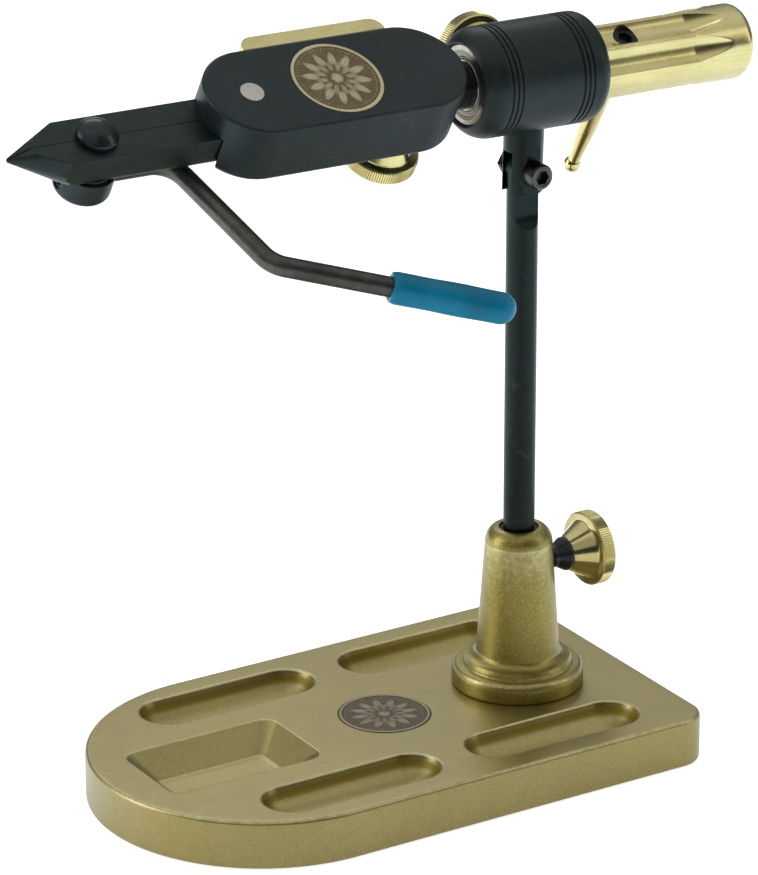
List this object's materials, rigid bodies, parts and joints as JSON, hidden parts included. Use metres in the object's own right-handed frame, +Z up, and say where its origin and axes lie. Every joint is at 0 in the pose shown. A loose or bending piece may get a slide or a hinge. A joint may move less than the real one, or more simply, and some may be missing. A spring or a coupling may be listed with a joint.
{
  "type": "fly tying vise",
  "caption": "Rotary fly tying vise on a heavy pocket base, with cam-lever jaws, a ball-bearing head, a brass crank handle and knurled clamp knobs.",
  "frame": {"origin": "on the stem's axis, on the underside of the base plate", "axes": "+Z up along the stem; +X towards the crank handle, so the jaws point to -X; +Y towards the drag knob's side"},
  "size_m": [0.2483, 0.118, 0.2313],
  "materials": {
    "champagne_plate": "satin metallic coat, worn bright along some edges",
    "champagne_socket": "satin metallic coat",
    "copper_disc": "aged, satin",
    "bronze_disc": "antique, satin",
    "black_steel": "black oxide, satin",
    "black_anodised": "black, satin",
    "gloss_black": "gloss",
    "blued_steel": "dark, satin",
    "polished_brass": "polished",
    "satin_brass": "satin",
    "white_nylon": "matte",
    "grey_steel": "satin",
    "bright_steel": "bright, ground",
    "shield_steel": "pressed sheet",
    "dark_hub": "dark anodised, satin",
    "dark_head": "dark anodised, satin",
    "dark_jaw": "dark hardened steel, satin",
    "dark_rod": "dark steel, satin",
    "teal_vinyl": "smooth dipped vinyl"
  },
  "bodies": {
    "base": {"base_plate": "champagne_plate", "base_medallion": "copper_disc", "stem_socket": "champagne_socket", "base_screws": "black_steel"},
    "stem_knob_set": {"stem_knob": "polished_brass", "stem_knob_stud": "black_steel", "stem_knob_collar": "black_anodised"},
    "sleeve": {"stem_sleeve": "gloss_black"},
    "stem_rod": {"stem": "blued_steel"},
    "hub": {"hub_housing": "dark_hub", "elbow_clevis": "blued_steel", "elbow_screw": "grey_steel", "elbow_nut": "bright_steel", "front_outer_race": "bright_steel", "rear_outer_race": "bright_steel", "front_shields": "shield_steel", "rear_shields": "shield_steel", "drag_shoe": "white_nylon"},
    "drag_knob_set": {"drag_knob": "polished_brass", "drag_stud": "black_steel"},
    "rotor": {"spindle": "blued_steel", "front_inner_race": "bright_steel", "rear_inner_race": "bright_steel", "spacer_tube": "grey_steel", "handle": "polished_brass", "handle_screw": "black_steel", "crank": "polished_brass", "head_housing": "dark_head", "head_medallion": "bronze_disc", "jaw_pin": "bright_steel", "balance_bar": "satin_brass", "bar_screws": "black_steel", "jaw_spring": "bright_steel"},
    "ball_sets": {"bearing_balls": "bright_steel", "bearing_cages": "satin_brass"},
    "head_knob_set": {"head_knob": "polished_brass", "head_knob_stud": "black_steel", "head_knob_collar": "black_anodised"},
    "near_jaw_body": {"near_jaw": "dark_jaw"},
    "far_jaw_body": {"far_jaw": "dark_jaw"},
    "lever": {"cam_post": "dark_jaw", "cam_washer": "grey_steel", "cam_hub": "dark_jaw", "cam_screw": "black_steel", "lever_rod": "dark_rod", "lever_grip": "teal_vinyl"}
  },
  "joints": [
    {"name": "stem_swivel", "type": "hinge", "parent": "base", "child": "sleeve", "pos_m": [0, 0, 0.03], "axis": [0, 0, 1], "continuous": true},
    {"name": "stem_height", "type": "slide", "parent": "sleeve", "child": "stem_rod", "axis": [0, 0, 1], "range_m": [0, 0.015]},
    {"name": "stem_knob_turn", "type": "hinge", "parent": "base", "child": "stem_knob_set", "pos_m": [0.02, 0, 0.0531], "axis": [1, 0, 0], "range_deg": [-180, 0]},
    {"name": "elbow_tilt", "type": "hinge", "parent": "stem_rod", "child": "hub", "pos_m": [0, 0, 0.1802], "axis": [0, 1, 0], "range_deg": [-30, 40]},
    {"name": "drag_knob_turn", "type": "hinge", "parent": "hub", "child": "drag_knob_set", "pos_m": [0.0007, 0.02, 0.20904], "axis": [0, 1, 0], "range_deg": [-180, 0]},
    {"name": "head_spin", "type": "hinge", "parent": "hub", "child": "rotor", "pos_m": [0.0007, 0, 0.20904], "axis": [0.9997, 0, -0.0244], "continuous": true},
    {"name": "ball_roll", "type": "hinge", "parent": "hub", "child": "ball_sets", "pos_m": [0.0007, 0, 0.20904], "axis": [0.9997, 0, -0.0244], "continuous": true},
    {"name": "head_knob_turn", "type": "hinge", "parent": "rotor", "child": "head_knob_set", "pos_m": [-0.04265, 0.00716, 0.19691], "axis": [-0.0215, 0.4772, -0.8786], "range_deg": [-180, 0]},
    {"name": "lever_squeeze", "type": "hinge", "parent": "rotor", "child": "lever", "pos_m": [-0.1441, 0, 0.21258], "axis": [0.0215, -0.4772, 0.8786], "range_deg": [0, 24]},
    {"name": "near_jaw_open", "type": "hinge", "parent": "rotor", "child": "near_jaw_body", "pos_m": [-0.09602, 0, 0.21141], "axis": [0.0215, -0.4772, 0.8786], "range_deg": [0, 1.01]},
    {"name": "far_jaw_open", "type": "hinge", "parent": "rotor", "child": "far_jaw_body", "pos_m": [-0.09602, 0, 0.21141], "axis": [0.0215, -0.4772, 0.8786], "range_deg": [-1.01, 0]}
  ],
  "couplings": [
    {"joint": "ball_roll", "follows": "head_spin", "ratio": 0.41111},
    {"joint": "near_jaw_open", "follows": "lever_squeeze", "ratio": 0.041667},
    {"joint": "far_jaw_open", "follows": "lever_squeeze", "ratio": -0.041667}
  ]
}
